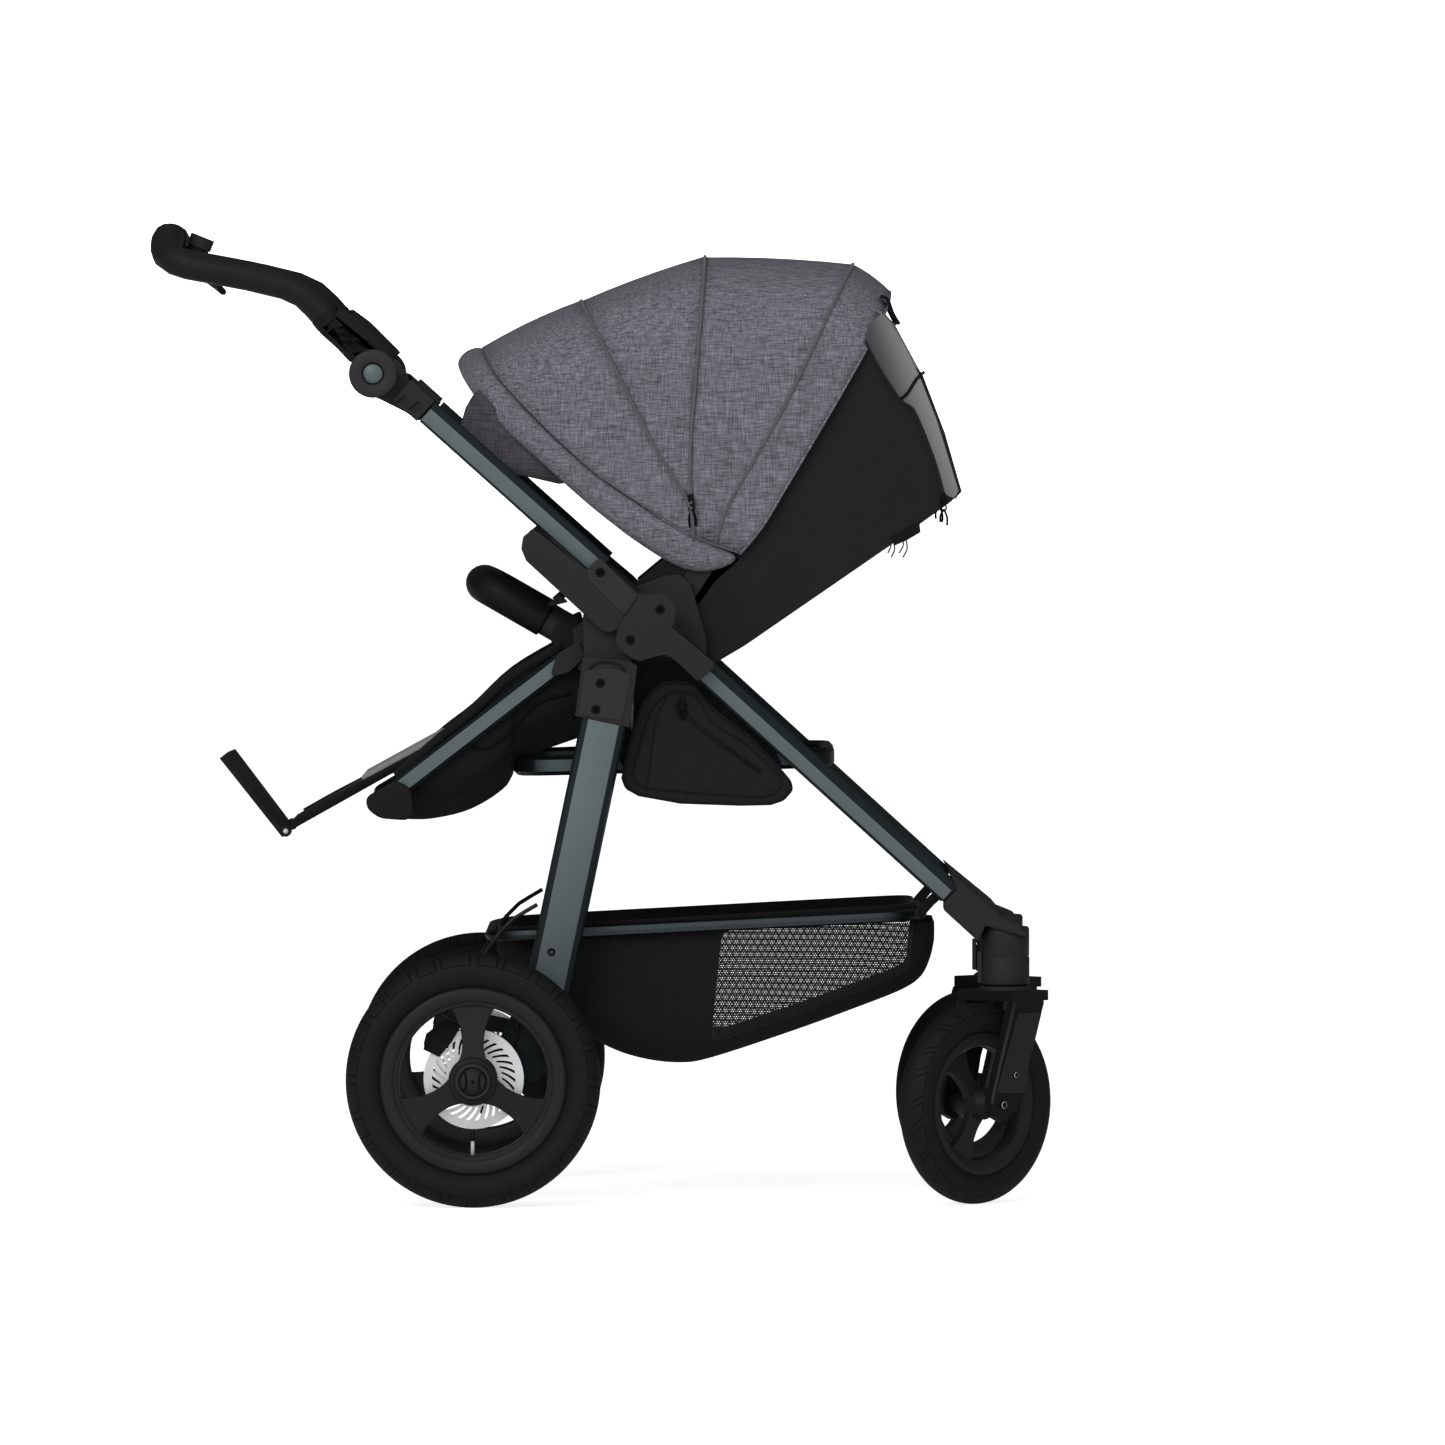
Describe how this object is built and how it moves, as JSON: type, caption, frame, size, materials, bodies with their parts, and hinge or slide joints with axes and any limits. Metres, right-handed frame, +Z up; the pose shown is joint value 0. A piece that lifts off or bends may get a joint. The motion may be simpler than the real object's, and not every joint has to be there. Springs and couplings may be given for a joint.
{
  "type": "jogging stroller",
  "caption": "Folding jogging stroller with air tyres, swivel front casters, parent-facing seat, fan canopy, legrest, basket and tilting handle.",
  "frame": {"origin": "on the floor, below the centre of the bounding box", "axes": "+X is the direction of travel (front casters), +Y is the stroller's left side, +Z up; casters, handle and seat are stored in the pose shown"},
  "size_m": [1.0842, 0.596, 1.1775],
  "materials": {
    "anodised_tube": "matte petrol grey anodised",
    "charcoal_plastic": "matte charcoal moulding",
    "black_rim": "satin black moulding",
    "tyre_rubber": "matte black rubber",
    "brake_steel": "brushed, slotted",
    "grip_cover": "matte black leatherette over foam",
    "melange_fabric": "purple grey melange weave",
    "black_fabric": "black woven fabric",
    "cable_sheath": "satin black housing"
  },
  "bodies": {
    "front_frame": {"front_leg_r": "anodised_tube", "front_leg_l": "anodised_tube", "front_plate_r": "charcoal_plastic", "front_plate_l": "charcoal_plastic", "front_head_r": "charcoal_plastic", "front_head_l": "charcoal_plastic", "brace_loop": "anodised_tube", "side_bag": "black_fabric", "seat_hub_r": "charcoal_plastic", "seat_hub_l": "charcoal_plastic", "seat_tube": "anodised_tube", "seat_tub": "black_fabric"},
    "swivel_lock_right": {"swivel_lock_r": "charcoal_plastic"},
    "swivel_lock_left": {"swivel_lock_l": "charcoal_plastic"},
    "push_frame": {"push_tube_r": "anodised_tube", "push_tube_l": "anodised_tube", "push_plate_r": "charcoal_plastic", "push_plate_l": "charcoal_plastic", "hinge_base_r": "charcoal_plastic", "hinge_base_l": "charcoal_plastic"},
    "release_right": {"release_trigger_r": "charcoal_plastic"},
    "release_left": {"release_trigger_l": "charcoal_plastic"},
    "handle": {"grip_bar": "grip_cover", "hinge_arm_r": "charcoal_plastic", "hinge_arm_l": "charcoal_plastic"},
    "lever": {"brake_lever": "charcoal_plastic"},
    "knob": {"park_knob": "charcoal_plastic"},
    "button_right": {"hinge_button_r": "anodised_tube"},
    "button_left": {"hinge_button_l": "anodised_tube"},
    "rear_frame": {"leg_hub_r": "charcoal_plastic", "leg_hub_l": "charcoal_plastic", "rear_leg_r": "anodised_tube", "rear_leg_l": "anodised_tube", "rear_axle": "anodised_tube", "caliper_r": "charcoal_plastic", "caliper_l": "charcoal_plastic", "brake_cable_r": "cable_sheath", "brake_cable_l": "cable_sheath", "basket_rail": "anodised_tube", "basket": "black_fabric"},
    "rear_wheel_right": {"rear_tyre_r": "tyre_rubber", "rear_rim_r": "black_rim", "brake_disc_r": "brake_steel"},
    "rear_wheel_left": {"rear_tyre_l": "tyre_rubber", "rear_rim_l": "black_rim", "brake_disc_l": "brake_steel"},
    "caster_right": {"fork_r": "charcoal_plastic"},
    "caster_left": {"fork_l": "charcoal_plastic"},
    "front_wheel_right": {"front_tyre_r": "tyre_rubber", "front_rim_r": "black_rim"},
    "front_wheel_left": {"front_tyre_l": "tyre_rubber", "front_rim_l": "black_rim"},
    "seat_back": {"backrest": "black_fabric", "canopy_rear": "melange_fabric"},
    "canopy_middle": {"canopy_mid": "melange_fabric"},
    "canopy_visor": {"canopy_front": "melange_fabric"},
    "legrest": {"legrest_board": "black_fabric"},
    "foot": {"footplate": "charcoal_plastic"},
    "bumper": {"bumper_bar": "grip_cover"}
  },
  "joints": [
    {"name": "frame_fold", "type": "hinge", "parent": "front_frame", "child": "push_frame", "pos_m": [0.0683, 0, 0.7147], "axis": [0, 1, 0], "range_deg": [0, 150]},
    {"name": "rear_leg_fold", "type": "hinge", "parent": "front_frame", "child": "rear_frame", "pos_m": [0.0325, 0, 0.6783], "axis": [0, 1, 0], "range_deg": [-33, 0]},
    {"name": "handle_tilt", "type": "hinge", "parent": "push_frame", "child": "handle", "pos_m": [-0.2754, 0, 0.9967], "axis": [0, 1, 0], "range_deg": [-30, 60]},
    {"name": "brake_lever_pull", "type": "hinge", "parent": "handle", "child": "lever", "pos_m": [-0.506, -0.015, 1.135], "axis": [-0.7507, 0, -0.6606], "range_deg": [0, 8], "stiffness_Nm_per_rad": 1},
    {"name": "park_brake_press", "type": "slide", "parent": "handle", "child": "knob", "axis": [-0.375, 0, -0.927], "range_m": [0, 0.003], "stiffness_N_per_m": 900},
    {"name": "seat_recline", "type": "hinge", "parent": "front_frame", "child": "seat_back", "pos_m": [0.1, 0, 0.68], "axis": [0, 1, 0], "range_deg": [-20, 12]},
    {"name": "canopy_mid_fold", "type": "hinge", "parent": "seat_back", "child": "canopy_middle", "pos_m": [0.157, 0, 0.765], "axis": [0, 1, 0], "range_deg": [0, 24]},
    {"name": "canopy_front_fold", "type": "hinge", "parent": "canopy_middle", "child": "canopy_visor", "pos_m": [0.157, 0, 0.765], "axis": [0, 1, 0], "range_deg": [0, 17]},
    {"name": "legrest_raise", "type": "hinge", "parent": "front_frame", "child": "legrest", "pos_m": [-0.205, 0, 0.55], "axis": [0, 1, 0], "range_deg": [0, 40]},
    {"name": "footplate_fold", "type": "hinge", "parent": "legrest", "child": "foot", "pos_m": [-0.387, 0, 0.443], "axis": [0, 1, 0], "range_deg": [-75, 30]},
    {"name": "bumper_swing", "type": "hinge", "parent": "front_frame", "child": "bumper", "pos_m": [-0.0336, 0, 0.678], "axis": [0, 1, 0], "range_deg": [0, 45]},
    {"name": "rear_wheel_spin_right", "type": "hinge", "parent": "rear_frame", "child": "rear_wheel_right", "pos_m": [-0.155, -0.27, 0.1525], "axis": [0, 1, 0], "continuous": true},
    {"name": "caster_swivel_right", "type": "hinge", "parent": "front_frame", "child": "caster_right", "pos_m": [0.4835, -0.163, 0.2612], "axis": [0, 0, 1], "continuous": true},
    {"name": "front_wheel_spin_right", "type": "hinge", "parent": "caster_right", "child": "front_wheel_right", "pos_m": [0.44673, -0.19977, 0.1207], "axis": [-0.7071, 0.7071, 0], "continuous": true},
    {"name": "swivel_lock_slide_right", "type": "slide", "parent": "front_frame", "child": "swivel_lock_right", "axis": [0, 0, 1], "range_m": [-0.005, 0]},
    {"name": "hinge_button_press_right", "type": "slide", "parent": "handle", "child": "button_right", "axis": [0, 1, 0], "range_m": [0, 0.003], "stiffness_N_per_m": 1500},
    {"name": "fold_release_right", "type": "slide", "parent": "push_frame", "child": "release_right", "axis": [-0.745, 0, 0.667], "range_m": [0, 0.012], "stiffness_N_per_m": 600},
    {"name": "rear_wheel_spin_left", "type": "hinge", "parent": "rear_frame", "child": "rear_wheel_left", "pos_m": [-0.155, 0.27, 0.1525], "axis": [0, 1, 0], "continuous": true},
    {"name": "caster_swivel_left", "type": "hinge", "parent": "front_frame", "child": "caster_left", "pos_m": [0.4835, 0.163, 0.2612], "axis": [0, 0, 1], "continuous": true},
    {"name": "front_wheel_spin_left", "type": "hinge", "parent": "caster_left", "child": "front_wheel_left", "pos_m": [0.44673, 0.12623, 0.1207], "axis": [-0.7071, 0.7071, 0], "continuous": true},
    {"name": "swivel_lock_slide_left", "type": "slide", "parent": "front_frame", "child": "swivel_lock_left", "axis": [0, 0, 1], "range_m": [-0.005, 0]},
    {"name": "hinge_button_press_left", "type": "slide", "parent": "handle", "child": "button_left", "axis": [0, -1, 0], "range_m": [0, 0.003], "stiffness_N_per_m": 1500},
    {"name": "fold_release_left", "type": "slide", "parent": "push_frame", "child": "release_left", "axis": [-0.745, 0, 0.667], "range_m": [0, 0.012], "stiffness_N_per_m": 600}
  ],
  "couplings": [
    {"joint": "rear_leg_fold", "follows": "frame_fold", "ratio": -0.22},
    {"joint": "canopy_front_fold", "follows": "canopy_mid_fold", "ratio": 0.7}
  ]
}
